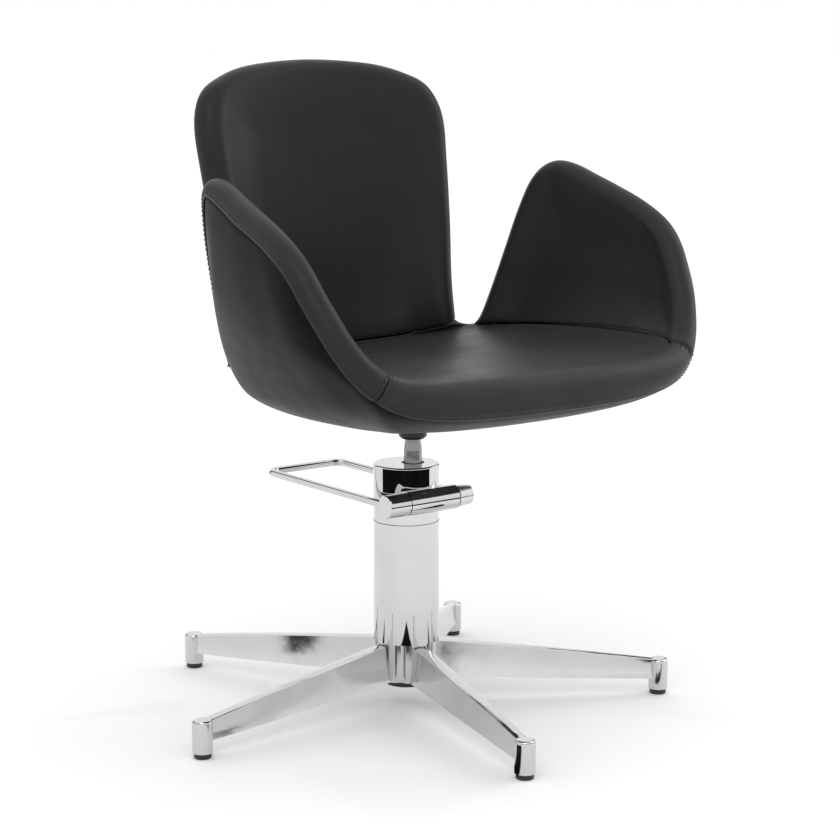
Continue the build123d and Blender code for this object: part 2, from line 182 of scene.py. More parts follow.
def normals(grid, towards):
    """A grid's normals, on the side that towards points to."""
    n = unit(np.cross(np.gradient(grid, axis=1), np.gradient(grid, axis=0)))
    return n * (1 if (n @ np.array(towards, float)).mean() > 0 else -1)


def fade(distance, reach):
    """1 at no distance, falling smoothly to 0 at the reach."""
    x = np.clip(1 - distance / reach, 0, 1)
    return x * x * (3 - 2 * x)


def run(points, axis):
    """Distance along a grid's lines from their starts."""
    step = np.linalg.norm(np.diff(points, axis=axis), axis=-1)
    zero = np.zeros_like(np.take(step, [0], axis=axis))
    return np.concatenate([zero, np.cumsum(step, axis=axis)], axis=axis)


# ================= the rim =================
def rim_keys():
    """Every key of the left rim, with one mirrored key before its first and one after its last."""
    keys = []
    for x, z in BACK_RIM:
        radius = BACK_CURVE + BACK_FLATTEN * (z - BELT_Z)
        y = BACK_MID_Y + BACK_LEAN * (z - BELT_Z) - (radius - math.sqrt(radius ** 2 - x ** 2))
        side = x / radius
        keys.append((x, y, z, -side, -math.sqrt(1 - side * side), BACK_LEAN, BACK_RIM_R, -90))
    for place, facing, radius, ends in REST_OF_RIM:
        keys.append((*place, *facing, radius, ends))
    keys = np.array(keys)
    flip = np.array([-1, 1, 1, -1, 1, 1, 1, 1])
    return np.vstack([keys[1] * flip, keys, keys[-2] * flip])


RIM, RIM_LENGTH, KNOT = dense_curve(rim_keys())
KNOT = KNOT[1:-1]  # the first and last keys only carry the line on past its two middles
FIRST = len(BACK_RIM)
LAST = FIRST + len(REST_OF_RIM) - 1
TURNS = 13
STEP = 1e-3  # how far ahead and behind a line's direction is taken from
TUCKS = ((0.045, 0.0008), (0.10, 0.0034))  # turn past the rim's end and depth, where the leather tucks in


def directions(at, length, line):
    """The way a line runs at distances along it."""
    return at_lengths(at + STEP, length, line) - at_lengths(at - STEP, length, line)


class Stretch:
    """A stretch of the left rim between two knots: its middle, the way its pad faces, and its way out."""

    def __init__(self, low, high, share):
        low, high = KNOT[low], KNOT[high]
        rows = sample(RIM, RIM_LENGTH, low, high, share)
        at = RIM_LENGTH[low] + (RIM_LENGTH[high] - RIM_LENGTH[low]) * np.asarray(share)
        tangent = directions(at, RIM_LENGTH, RIM[:, :3])
        in_middle = np.abs(rows[:, 0]) < 1e-6
        tangent[in_middle] *= [1, 0, 0]  # level where the rim crosses the middle
        tangent = unit(tangent)
        facing = rows[:, 3:6].copy()
        facing[in_middle, 0] = 0
        self.middle = rows[:, :3]
        self.tangent = tangent
        self.facing = unit(facing - (facing * tangent).sum(1, keepdims=True) * tangent)
        self.out = unit(np.cross(self.facing, tangent))
        self.radius = rows[:, 6]
        self.ends = np.radians(rows[:, 7])

    def point(self, angle, grow=0.0):
        angle = np.broadcast_to(angle, self.radius.shape)[:, None]
        way = np.cos(angle) * self.out + np.sin(angle) * self.facing
        return self.middle + (self.radius[:, None] + grow) * way

    def inner(self):
        return self.point(math.pi / 2)

    def outer(self, grow=0.0):
        return self.point(self.ends, grow)

    def band(self, low_seam, high_seam):
        """The leather round the rim: [turn, s], tucked in at its outer edge and at the seams on its ends."""
        rows = []
        along = run(self.middle, 0)
        dip = np.zeros(len(along))
        if low_seam:
            dip += SEAM_DIP * fade(along, SEAM_REACH)
        if high_seam:
            dip += SEAM_DIP * fade(along[-1] - along, SEAM_REACH)
        for k in range(TURNS + 1):
            angle = math.pi / 2 + (self.ends - math.pi / 2) * k / TURNS
            rows.append(self.point(angle, -dip[:, None] * min(k / 3, 1)))
        rows += [self.point(self.ends - turn, -depth - dip[:, None]) for turn, depth in TUCKS]
        return np.stack(rows)


N_TOP, N_SIDE, N_NOTCH, N_ARM, N_ARM_TOP, N_NOSE = 34, 46, 12, 40, 34, 40
back_top = Stretch(0, BACK_CORNER, even(N_TOP))  # middle of the top to the left corner
back_side = Stretch(BACK_CORNER, FIRST + BACK_FOOT, 1 - packed(N_SIDE)[::-1])  # down to the foot
notch = Stretch(FIRST + BACK_FOOT, FIRST + ARM_SEAM, packed_both(N_NOTCH))
arm_rear = Stretch(FIRST + ARM_SEAM, FIRST + ARM_TIP, packed(N_ARM))
arm_top = Stretch(FIRST + ARM_TIP, FIRST + ARM_CREST, even(N_ARM_TOP))
arm_front = Stretch(FIRST + ARM_CREST, FIRST + CROSS_SEAM, 1 - packed(N_ARM)[::-1])
nose = Stretch(FIRST + CROSS_SEAM, LAST, packed(N_NOSE))
MIRROR = np.array([-1.0, 1.0, 1.0])


def both_ways(half):
    """A line from the left end to the right end, from its left half that stops at the middle."""
    return np.vstack([half, half[-2::-1] * MIRROR])


# ================= meshes =================
def new_object(name, points, faces):
    data = bpy.data.meshes.new(name)
    data.from_pydata(points, [], faces)
    data.update()
    obj = bpy.data.objects.new(name, data)
    bpy.context.scene.collection.objects.link(obj)
    return obj


class Mesh:
    """Grids gathered into one object."""

    def __init__(self):
        self.points, self.faces, self.held, self.count = [], [], [], 0

    def grid(self, g, towards, held=None):
        """Adds a grid of points whose faces look the way of towards, a direction or one for each point.
        held says how firmly each point stays put while the pad swells, all of them if it isn't given."""
        rows, cols = g.shape[:2]
        index = self.count + np.arange(rows * cols).reshape(rows, cols)
        quads = np.stack([index[:-1, :-1], index[:-1, 1:], index[1:, 1:], index[1:, :-1]], -1)
        quads = quads.reshape(-1, 4)
        n = np.cross(g[1:, 1:] - g[:-1, :-1], g[1:, :-1] - g[:-1, 1:])
        towards = np.asarray(towards, float)
        if towards.ndim == 3:
            towards = towards[:-1, :-1]
        if (n * towards).sum() < 0:
            quads = quads[:, ::-1]
        self.faces.append(quads)
        self.points.append(g.reshape(-1, 3))
        self.held.append(np.ones(rows * cols) if held is None else held.reshape(-1))
        self.count += rows * cols

    def make(self, name):
        return new_object(name, np.vstack(self.points).tolist(), np.vstack(self.faces).tolist())


def modify(obj, kind, **settings):
    m = obj.modifiers.new(kind.lower(), kind)
    for key, value in settings.items():
        setattr(m, key, value)
    for o in bpy.context.selected_objects:
        o.select_set(False)
    bpy.context.view_layer.objects.active = obj
    obj.select_set(True)
    bpy.ops.object.modifier_apply(modifier=m.name)
    return obj


def smooth(obj):
    obj.data.polygons.foreach_set("use_smooth", [True] * len(obj.data.polygons))
    obj.data.update()
    return obj


def positions(data):
    flat = np.empty(len(data.vertices) * 3)
    data.vertices.foreach_get("co", flat)
    return flat.reshape(-1, 3)


def swell(obj, frames=14, pressure=5.0, most=0.0025):
    """Lets the leather swell over its filling between the seams that hold it, by cloth simulation.
    The cloth swells too far, so its shape is kept and scaled down to move by the most given."""
    before = positions(obj.data)
    cloth = obj.modifiers.new("cloth", "CLOTH")
    cloth.point_cache.frame_start, cloth.point_cache.frame_end = 1, frames
    cloth.collision_settings.use_collision = False
    settings = cloth.settings
    settings.quality, settings.mass = 6, 0.35
    settings.tension_stiffness = settings.compression_stiffness = 10.0
    settings.shear_stiffness, settings.bending_stiffness = 4.0, 1.5
    settings.use_pressure, settings.uniform_pressure_force = True, pressure
    settings.vertex_group_mass, settings.pin_stiffness = "held", 1.0
    settings.shrink_min = -0.006
    settings.effector_weights.gravity = 0.0
    scene = bpy.context.scene
    for frame_number in range(1, frames + 1):
        scene.frame_set(frame_number)
    shown = obj.evaluated_get(bpy.context.evaluated_depsgraph_get())
    moved = positions(shown.data) - before
    obj.modifiers.remove(cloth)
    scene.frame_set(1)
    share = most / max(most, np.linalg.norm(moved, axis=1).max())
    obj.data.vertices.foreach_set("co", (before + share * moved).reshape(-1))
    obj.data.update()


def soft_piece(mesh, name, material, replaces, skin=SKIN, swells=True):
    """Welds a gathered mesh, lets it swell, thickens it to the leather and rides it on the seat."""
    obj = mesh.make(name)
    group = obj.vertex_groups.new(name="held")
    for index, weight in enumerate(np.concatenate(mesh.held).tolist()):
        group.add([index], weight, "REPLACE")
    modify(obj, "WELD", merge_threshold=WELD)
    if swells:
        swell(obj)
    obj.vertex_groups.clear()
    modify(obj, "SOLIDIFY", thickness=skin, offset=-1.0, use_even_offset=False,
           use_quality_normals=True)
    modify(obj, "SUBSURF", levels=1)
    smooth(obj)
    obj.data.materials.append(material)
    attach(obj, BODY)
    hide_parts(*replaces)
    return obj


# ================= materials =================
def new_material(name):
    mat = bpy.data.materials.new(name)
    mat.use_nodes = True
    tree = mat.node_tree
    return mat, tree, tree.nodes["Principled BSDF"]


def node(tree, kind, **values):
    n = tree.nodes.new(kind)
    for key, value in values.items():
        if key in n.inputs:
            n.inputs[key].default_value = value
        else:
            setattr(n, key, value)
    return n


def noise(tree, scale, detail=3.0, roughness=0.5, stretch=None):
    """Noise in the object's own metres."""
    place = node(tree, "ShaderNodeTexCoord")
    out = place.outputs["Object"]
    if stretch:
        mapping = node(tree, "ShaderNodeMapping", Scale=stretch)
        tree.links.new(out, mapping.inputs["Vector"])
        out = mapping.outputs["Vector"]
    n = node(tree, "ShaderNodeTexNoise", Scale=scale, Detail=detail, Roughness=roughness)
    tree.links.new(out, n.inputs["Vector"])
    return n.outputs["Fac"], out


def ramp(tree, fac, low, high, start=0.3, stop=0.7):
    r = node(tree, "ShaderNodeValToRGB")
    r.color_ramp.elements[0].position, r.color_ramp.elements[1].position = start, stop
    r.color_ramp.elements[0].color, r.color_ramp.elements[1].color = (*low, 1), (*high, 1)
    tree.links.new(fac, r.inputs["Fac"])
    return r.outputs["Color"]


def grey(value):
    return (value, value, value)


def spread(tree, fac, low, high):
    """A noise's usual range turned into the range from low to high."""
    m = node(tree, "ShaderNodeMapRange")
    m.inputs["To Min"].default_value, m.inputs["To Max"].default_value = low, high
    m.inputs["From Min"].default_value, m.inputs["From Max"].default_value = 0.3, 0.7
    tree.links.new(fac, m.inputs["Value"])
    return m.outputs["Result"]


def bump(tree, shader, height, distance, strength=1.0, below=None):
    """Bumps a shader, on top of the bumps below."""
    b = node(tree, "ShaderNodeBump", Strength=strength, Distance=distance)
    tree.links.new(height, b.inputs["Height"])
    if below:
        tree.links.new(below, b.inputs["Normal"])
    tree.links.new(b.outputs["Normal"], shader.inputs["Normal"])
    return b.outputs["Normal"]


def leather(name, dark, light, rough, shine=0.20):
    """Smooth synthetic leather: faint grain, slow colour drift and a satin gloss."""
    mat, tree, shader = new_material(name)
    drift, _ = noise(tree, 9.0, 4.0)
    tree.links.new(ramp(tree, drift, dark, light), shader.inputs["Base Color"])
    patchy, place = noise(tree, 26.0, 5.0, 0.6)
    tree.links.new(spread(tree, patchy, rough - 0.045, rough + 0.045), shader.inputs["Roughness"])
    pores = node(tree, "ShaderNodeTexVoronoi", Scale=1150.0, feature="DISTANCE_TO_EDGE")
    tree.links.new(place, pores.inputs["Vector"])
    creases = spread(tree, pores.outputs["Distance"], 0.0, 1.0)
    slow, _ = noise(tree, 330.0, 2.0)
    first = bump(tree, shader, slow, 0.00022, 0.30)
    bump(tree, shader, creases, 0.00010, 0.42, first)
    shader.inputs["Specular IOR Level"].default_value = shine
    shader.inputs["Sheen Weight"].default_value = 0.04
    shader.inputs["Sheen Roughness"].default_value = 0.45
    return mat


def metal(name, tone, rough, spots=0.02, waves=0.0, brushed=None):
    """Bright metal with a faint unevenness in gloss and colour."""
    mat, tree, shader = new_material(name)
    shader.inputs["Metallic"].default_value = 1.0
    drift, _ = noise(tree, 14.0, 4.0, 0.55, brushed)
    low = tuple(c * 0.93 for c in tone)
    tree.links.new(ramp(tree, drift, low, tone), shader.inputs["Base Color"])
    fine, _ = noise(tree, 160.0, 5.0, 0.6, brushed)
    tree.links.new(spread(tree, fine, max(rough - spots, 0.01), rough + spots), shader.inputs["Roughness"])
    if waves:
        slow, _ = noise(tree, 24.0, 2.0, 0.5, brushed)
        bump(tree, shader, slow, waves, 0.5)
    return mat


def plastic(name, tone, rough, grain=0.00012):
    """Moulded plastic, rubber or plain wood, with a fine grain."""
    mat, tree, shader = new_material(name)
    drift, _ = noise(tree, 40.0, 3.0)
    low = tuple(c * 0.75 for c in tone)
    tree.links.new(ramp(tree, drift, low, tone), shader.inputs["Base Color"])
    fine, _ = noise(tree, 900.0, 3.0)
    tree.links.new(spread(tree, fine, rough - 0.05, rough + 0.07), shader.inputs["Roughness"])
    bump(tree, shader, fine, grain, 0.35)
    return mat


def cloth(name, tone):
    """Matt felted cloth."""
    mat, tree, shader = new_material(name)
    fibres, _ = noise(tree, 700.0, 6.0, 0.75)
    low = tuple(c * 0.5 for c in tone)
    tree.links.new(ramp(tree, fibres, low, tone), shader.inputs["Base Color"])
    shader.inputs["Roughness"].default_value = 0.9
    shader.inputs["Sheen Weight"].default_value = 0.2
    bump(tree, shader, fibres, 0.0003, 0.6)
    return mat


def thread(name, tone):
    """Twisted sewing thread."""
    mat, tree, shader = new_material(name)
    place = node(tree, "ShaderNodeTexCoord")
    twist = node(tree, "ShaderNodeTexWave", Scale=900.0, Distortion=1.0)
    tree.links.new(place.outputs["Object"], twist.inputs["Vector"])
    low = tuple(c * 0.6 for c in tone)
    tree.links.new(ramp(tree, twist.outputs["Fac"], low, tone), shader.inputs["Base Color"])
    bump(tree, shader, twist.outputs["Fac"], 0.00015, 0.5)
    shader.inputs["Roughness"].default_value = 0.55
    return mat


# One black leather in four tones that stand in for light and shade: painted light on the seat (lightest) and
# on the arms' inner faces, painted shade on the back's inner face, and the deepest painted shade on the outer
# panels and the bowl.
LEATHER_IN_PAINTED_SHADE = leather("leather_inner", (0.0100, 0.0100, 0.0112), (0.0132, 0.0132, 0.0145), 0.42)
LEATHER_OUT_PAINTED_SHADE = leather("leather_outer", (0.0030, 0.0030, 0.0036), (0.0044, 0.0044, 0.0050), 0.44, 0.08)
LEATHER_ARM_PAINTED_LIGHT = leather("leather_arms_painted_light", (0.0128, 0.0128, 0.0142), (0.0162, 0.0162, 0.0178), 0.42)
LEATHER_SEAT_PAINTED_LIGHT = leather("leather_seat_painted_light", (0.0165, 0.0165, 0.0180), (0.0205, 0.0205, 0.0220), 0.42)
THREAD = thread("stitch_thread", (0.017, 0.017, 0.019))
ALUMINIUM = metal("polished_aluminium", (0.63, 0.63, 0.64), 0.12, 0.03, 0.0006)
CHROME = metal("chrome", (0.63, 0.63, 0.635), 0.035, 0.012)
STEEL = metal("steel", (0.30, 0.30, 0.31), 0.27, 0.06, 0.0, (1.0, 1.0, 14.0))
SATIN = metal("satin_chrome", (0.72, 0.72, 0.73), 0.20, 0.03)
BRONZE = metal("bronze", (0.55, 0.38, 0.18), 0.33, 0.06)
BLACK = plastic("black_plastic", (0.012, 0.012, 0.013), 0.38)
RUBBER = plastic("rubber", (0.014, 0.014, 0.014), 0.62, 0.0002)
CLOTH = cloth("cover_cloth", (0.012, 0.012, 0.013))
WOOD = plastic("plywood", (0.50, 0.36, 0.22), 0.6)
BY_SLOT = {"polished_aluminium": ALUMINIUM, "chrome": CHROME, "steel": STEEL, "black_plastic": BLACK,
           "rubber": RUBBER, "bronze": BRONZE, "plywood": WOOD, "leather_inner": LEATHER_IN_PAINTED_SHADE,
           "leather_outer": LEATHER_OUT_PAINTED_SHADE, "cover_cloth": CLOTH}

for part in frame["record"]["subparts"]:
    cad = bpy.data.objects[part["node"]]
    cad.data.materials.clear()
    cad.data.materials.append(SATIN if part["node"] == "far_knuckle" else BY_SLOT[part["material_slot"]])


# ================= upholstery =================
ROLL, SEAM_SHELF = 0.075, 0.05  # how far in from its rolled edge and its seam a face lies deepest
PUCKER, PUCKER_REACH, PUCKER_PITCH, PUCKER_BEAT = 0.0006, 0.030, 0.0155, 0.071
ARM_RECESS, BACK_RECESS = 0.0045, 0.0050  # how deep those faces lie
DISH, CROWN = 0.011, 0.004  # how far the seat's face sinks in the middle, and how far it swells in front
CROWN_SHIFT = 1.15  # how much nearer the back the swelling ends
HELD_REACH = 0.032  # how far in from a face's edges its leather is held while it swells


def line_between(start, keys, end, share):
    return through([start, *keys, end], share)


arm_seam = line_between(arm_rear.inner()[0], ARM_SEAT_SEAM, nose.inner()[0], even(N_ARM_TOP))


def back_seam(count):
    """The seam between seat and back, from the left notch to the right one."""
    return both_ways(line_between(notch.inner()[0], SEAT_BACK_SEAM[:0:-1], SEAT_BACK_SEAM[0], even(count)))


def from_sides(grid):
    """Distances from a grid's foot, from its top and from the nearer of its two sides."""
    up, along = run(grid, 0), run(grid, 1)
    return up, up[-1:] - up, np.minimum(along, along[:, -1:] - along)


def pressed_in(grid, towards, recess):
    """Presses a pad's face in beyond its rolled edge, and dips and puckers it along its seam."""
    n = normals(grid, towards)
    from_seam, from_top, from_side = from_sides(grid)
    depth = recess * (1 - fade(np.minimum(from_top, from_side), ROLL)) * (1 - fade(from_seam, SEAM_SHELF))
    depth = depth + SEAM_DIP * fade(from_seam, SEAM_REACH)
    turn = 2 * math.pi * run(grid, 1)
    wave = 0.5 + 0.5 * np.cos(turn / PUCKER_PITCH) * np.cos(turn / PUCKER_BEAT)
    depth = depth + PUCKER * fade(from_seam, PUCKER_REACH) * wave
    shaped = grid - n * depth[..., None]
    shaped[:, 0], shaped[:, -1], shaped[-1] = grid[:, 0], grid[:, -1], grid[-1]
    return shaped


def arm_inner():
    grid = patch(arm_seam, arm_top.inner(), arm_rear.inner(), arm_front.inner()[::-1],
                 even(N_ARM_TOP), packed(N_ARM))
    return pressed_in(grid, ARM_FACES, ARM_RECESS)


def back_inner():
    side = back_side.inner()[::-1]
    top = both_ways(back_top.inner()[::-1])
    grid = patch(back_seam(N_TOP), top, side, side * MIRROR, even(2 * N_TOP - 1), packed(N_SIDE))
    return pressed_in(grid, BACK_FACES, BACK_RECESS)


def seat_top():
    """The seat's face, from the seam at the back to the crest of the nose."""
    front = both_ways(nose.inner())
    left = np.vstack([notch.inner(), arm_seam[1:]])
    length = lengths(left)
    s, t = even(len(front)), length / length[-1]
    grid = patch(back_seam(N_NOSE), front, left, left * MIRROR, s, t)
    across = np.minimum(s, 1 - s)[None, :] * 2
    dish = DISH * np.sin(np.pi * t)[:, None] * (across * (2 - across))
    ahead = np.sin(np.pi * np.clip(t * CROWN_SHIFT, 0, 1))[:, None]
    crown = CROWN * ahead * np.cos(np.pi * (across - 0.5)) ** 2
    grid[..., 2] += -dish + crown
    from_back, _, from_side = from_sides(grid)
    beside_notch = (np.arange(len(t)) < N_NOTCH)[:, None]
    side_seam = np.where(beside_notch, 1.0, from_side)
    grid[..., 2] -= SEAM_DIP * fade(np.minimum(from_back, side_seam), SEAM_REACH)
    return grid


def left_and_right(mesh, grid, towards):
    mesh.grid(grid, towards)
    mesh.grid(grid * MIRROR, np.asarray(towards, float) * MIRROR)


def band_out(stretch):
    """The way out of each point of a stretch's band, for the faces' sides."""
    return stretch.band(False, False) - stretch.middle[None]


ARM_FACES, BACK_FACES = (-1, 0, 0.3), (0, -1, 0.1)
ARM_GRID, BACK_GRID, SEAT_GRID = arm_inner(), back_inner(), seat_top()


def held_near_edges(grid):
    """1 along a face's edges, and less further in, where the pad is free to swell."""
    return fade(np.minimum.reduce(from_sides(grid)), HELD_REACH)


for side_name, sign in (("left", 1.0), ("right", -1.0)):
    turn = np.array([sign, 1.0, 1.0])
    arm = Mesh()
    arm.grid(ARM_GRID * turn, ARM_FACES * turn, held_near_edges(ARM_GRID))
    for stretch, low, high in ((arm_rear, True, False), (arm_top, False, False), (arm_front, False, True)):
        arm.grid(stretch.band(low, high) * turn, band_out(stretch) * turn)
    soft_piece(arm, side_name + "_arm_leather", LEATHER_ARM_PAINTED_LIGHT,
               [side_name + "_arm_padding", side_name + "_arm_core"])

back = Mesh()
back.grid(BACK_GRID, BACK_FACES, held_near_edges(BACK_GRID))
for stretch, low, high in ((back_side, False, True), (back_top, False, False)):
    left_and_right(back, stretch.band(low, high), band_out(stretch))
soft_piece(back, "back_leather", LEATHER_IN_PAINTED_SHADE, ["back_padding", "back_core"])

seat = Mesh()
seat.grid(SEAT_GRID, (0, 0, 1), held_near_edges(SEAT_GRID))
left_and_right(seat, notch.band(True, True), band_out(notch))
left_and_right(seat, nose.band(True, False), band_out(nose))
soft_piece(seat, "seat_leather", LEATHER_SEAT_PAINTED_LIGHT, ["seat_cushion"])


# ---- outer panels and the bowl ----
N_BELT, N_OUT, N_BACK_BELT, N_BOWL = 44, 40, 36, 26
TUCKED_IN = -0.0012  # how far the outer leather starts under the rim's seam
EDGE_ROLL, EDGE_REACH = 0.0030, 0.007
CHANNEL, CHANNEL_REACH = 0.0055, 0.030  # the groove beside an arm's front edge
CHANNEL_MIDDLE, CHANNEL_SPAN = 0.45, 0.50  # where up the arm it is deepest, and how far it runs from there
ARM_LEAN, NOTCH_LEAN, NOTCH_BLEND = 0.28, 0.45, 0.05  # slopes in below the belt, and how far they mix
N_SIDE_PART, N_FOOT_PART = N_OUT - 8, 9  # points of the back panel's side, down to its foot and past it
SHELL_MIDDLE = [0, -0.05, 0]
# The bowl: where its rear begins, how far behind that it is all rear, and how far its curves run down
# below the belt and in along the foot, at the nose and with what the rear adds
REAR_FROM, REAR_LENGTH = 0.02, 0.30
DOWN, DOWN_REAR, FLAT, FLAT_REAR, FLAT_RISE = 0.52, 0.14, 0.062, 0.020, 0.004
FAIRING_PASSES = 6
OUT_ARM_FACES, OUT_BACK_FACES = (1, 0, -0.3), (0, 1, -0.1)


def outer_edge(low, high, count):
    """A line along the rim's outer seam between two knots."""
    return Stretch(low, high, even(count)).outer(TUCKED_IN)


def outer_arm():
    rear = outer_edge(FIRST + NOTCH_LOW, FIRST + ARM_TIP, N_OUT)
    top = outer_edge(FIRST + ARM_TIP, FIRST + ARM_CREST, N_BELT)
    front = outer_edge(FIRST + ARM_CREST, FIRST + CROSS_SEAM, N_OUT)[::-1]
    belt = line_between(rear[0], ARM_BELT, front[0], even(N_BELT))
    return patch(belt, top, rear, front, even(N_BELT), even(N_OUT))


def outer_back():
    side = np.vstack([outer_edge(BACK_CORNER, FIRST + BACK_FOOT, N_SIDE_PART)[:-1],
                      outer_edge(FIRST + BACK_FOOT, FIRST + NOTCH_LOW, N_FOOT_PART)])[::-1]
    top = both_ways(outer_edge(0, BACK_CORNER, N_BACK_BELT)[::-1])
    belt = both_ways(line_between(side[0], BACK_BELT[:-1], BACK_BELT[-1], even(N_BACK_BELT)))
    return patch(belt, top, side, side * MIRROR, even(2 * N_BACK_BELT - 1), even(len(side)))


def roll_edges(grid, towards, front_channel=0.0):
    """Turns a panel's edges in under the seam beside them, further beside an arm's front edge."""
    n = normals(grid, towards)
    _, from_top, from_side = from_sides(grid)
    along = run(grid, 1)
    depth = EDGE_ROLL * fade(np.minimum(from_top, from_side), EDGE_REACH)
    rows = even(len(grid))[:, None]
    depth = depth + (front_channel * fade(along[:, -1:] - along, CHANNEL_REACH)
                     * fade(np.abs(rows - CHANNEL_MIDDLE), CHANNEL_SPAN))
    return grid - n * depth[..., None]


def downward(belt, lean):
    """The way down the outside below a belt line: straight down, leaning in by the lean's slope."""
    along = np.gradient(belt, axis=0)
    out = unit(np.stack([-along[:, 1], along[:, 0], 0 * along[:, 0]], 1))
    out *= np.sign((out * (belt - SHELL_MIDDLE)).sum(1, keepdims=True))
    return unit(-out * np.asarray(lean)[:, None] - [0, 0, 1])


def bowl(belt, under):
    """From a belt line down and in to the bowl's foot, as one Bezier curve per column: [row, s]."""
    foot = belt * [BASE_SHARE_X, BASE_SHARE_Y, 0] + [0, 0, BASE_Z]
    drop = belt[:, 2:] - BASE_Z
    rear = fade(REAR_FROM - belt[:, 1:2], REAR_LENGTH)  # 0 at the nose, 1 behind the middle
    first = belt + under * drop * (DOWN + DOWN_REAR * rear)
    outward = unit((belt - foot) * [1, 1, 0])
    last = foot + outward * (FLAT + FLAT_REAR * rear) + [0, 0, FLAT_RISE]
    t = even(N_BOWL)[:, None, None]
    return (1 - t) ** 3 * belt + 3 * (1 - t) ** 2 * t * first + 3 * (1 - t) * t * t * last + t ** 3 * foot


def ease(above, below, passes=60, reach=11, kept=0.045):
    """Smooths a panel and the bowl under it where they meet, but not within the kept distance of their ends.
    Both are [row, s], up and down from the belt."""
    grid = np.vstack([above[::-1], below[1:]])
    at = len(above) - 1
    along = run(above[:1], 1)[0]
    ends = 1 - fade(np.minimum(along, along[-1] - along), kept)
    weight = fade(np.abs(np.arange(len(grid)) - at), reach)[:, None, None] * ends[None, :, None]
    for _ in range(passes):
        middle = (grid[:-2] + 2 * grid[1:-1] + grid[2:]) / 4
        grid[1:-1] += weight[1:-1] * (middle - grid[1:-1])
    return grid[:at + 1][::-1].copy(), grid[at:].copy()


def half_bowl(arm_belt, half_back, nose_line):
    """The left half of the bowl, from the middle of the back round to the middle of the nose."""
    nose_stretch = Stretch(FIRST + CROSS_SEAM, LAST, even(N_NOSE))
    nose_under = np.cross(nose_stretch.tangent, nose_line - nose_stretch.middle)
    nose_under = nose_under * np.sign(-nose_under[:, 2:])
    side_belt = np.vstack([half_back, arm_belt[1:]])
    along = run(side_belt, 0)
    usual = np.where(np.arange(len(side_belt)) < N_BACK_BELT, BACK_LEAN, ARM_LEAN)
    from_notch = np.abs(along - along[N_BACK_BELT - 1])
    side_under = downward(side_belt, usual + (NOTCH_LEAN - usual) * fade(from_notch, NOTCH_BLEND))
    blend_in = fade(run(nose_line, 0), NOTCH_BLEND)[:, None]
    nose_under = unit(unit(nose_under) * (1 - blend_in) + side_under[-1:] * blend_in)
    under = np.vstack([side_under, nose_under[1:]])
    for _ in range(FAIRING_PASSES):
        under[1:-1] = unit(under[:-2] + 2 * under[1:-1] + under[2:])
    return bowl(np.vstack([side_belt, nose_line[1:]]), under)


OUT_ARM, OUT_BACK = outer_arm(), outer_back()
NOSE_LINE = outer_edge(FIRST + CROSS_SEAM, LAST, N_NOSE)
BOWL = half_bowl(OUT_ARM[0], OUT_BACK[0][:N_BACK_BELT][::-1], NOSE_LINE)

notch_column, corner_column = N_BACK_BELT - 1, N_BACK_BELT + N_BELT - 2
OUT_ARM, BOWL[:, notch_column:corner_column + 1] = ease(OUT_ARM, BOWL[:, notch_column:corner_column + 1])
whole = np.concatenate([BOWL[:, notch_column::-1], BOWL[:, 1:notch_column + 1] * MIRROR], 1)
OUT_BACK, whole = ease(OUT_BACK, whole)
BOWL[:, :notch_column + 1] = whole[:, notch_column::-1]

outer = Mesh()
OUT_ARM = roll_edges(OUT_ARM, OUT_ARM_FACES, CHANNEL)
OUT_BACK = roll_edges(OUT_BACK, OUT_BACK_FACES)
left_and_right(outer, OUT_ARM, OUT_ARM_FACES)
outer.grid(OUT_BACK, OUT_BACK_FACES)
BOWL[0] = np.vstack([OUT_BACK[0][:N_BACK_BELT][::-1], OUT_ARM[0][1:], NOSE_LINE[1:]])
left_and_right(outer, BOWL, BOWL * [1, 1, 0] + [0, 0.05, -0.1])
soft_piece(outer, "outer_leather", LEATHER_OUT_PAINTED_SHADE,
           ["left_arm_cover", "right_arm_cover", "back_cover", "seat_pan"],
           skin=OUTER_SKIN, swells=False)

# ---- the thin cloth under the bowl, stapled to its foot ----
COVER_DROP, COVER_SKIN, COVER_RIPPLE, COVER_PITCH = 0.0022, 0.0009, 0.0007, 0.031
SOCKET_GAP = 0.0006
COVER_SHARES = (1.004, 0.996, 0.985, 0.95, 0.85, 0.7, 0.5, 0.3, 0.15, 0.0)  # from the foot in to the socket
EDGE_SHARE = 0.02  # the share over which its edge turns down


def bottom_cover():
    foot = np.vstack([BOWL[-1], BOWL[-1][-2:0:-1] * MIRROR])
    foot = np.vstack([foot, foot[:1]])
    socket_low, socket_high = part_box("seat_socket")
    centre = np.array([(socket_low[0] + socket_high[0]) / 2, (socket_low[1] + socket_high[1]) / 2, 0])
    socket_r = (socket_high[0] - socket_low[0]) / 2 + SOCKET_GAP
    way = unit((foot - centre) * [1, 1, 0])
    inner = centre + way * socket_r + [0, 0, BASE_Z - COVER_DROP]
    ripple = COVER_RIPPLE * np.cos(run(foot, 0) / COVER_PITCH * 2 * math.pi)
    rows = []
    for share in COVER_SHARES:
        line = inner + (foot - inner) * share
        line[:, 2] = BASE_Z - COVER_DROP * min(1, (COVER_SHARES[0] - share) / EDGE_SHARE)
        line[:, 2] += math.sin(math.pi * min(share, 1)) * ripple
        rows.append(line)
    mesh = Mesh()
    mesh.grid(np.stack(rows), (0, 0, -1))
    obj = mesh.make("under_cover")
    modify(obj, "WELD", merge_threshold=WELD)
    modify(obj, "SOLIDIFY", thickness=COVER_SKIN, offset=-1.0)
    obj.data.materials.append(CLOTH)
    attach(smooth(obj), BODY)
    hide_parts("bottom_cover")


bottom_cover()

# ================= stitching =================
STITCH, PITCH, THREAD_R = 0.0040, 0.0062, 0.00050
PROUD = 0.00015  # how far the middle of a stitch stands off the leather
INSET, ARM_FOOT_INSET, BACK_FOOT_INSET = 0.0042, 0.0052, 0.0060  # from a seam to its row of stitches


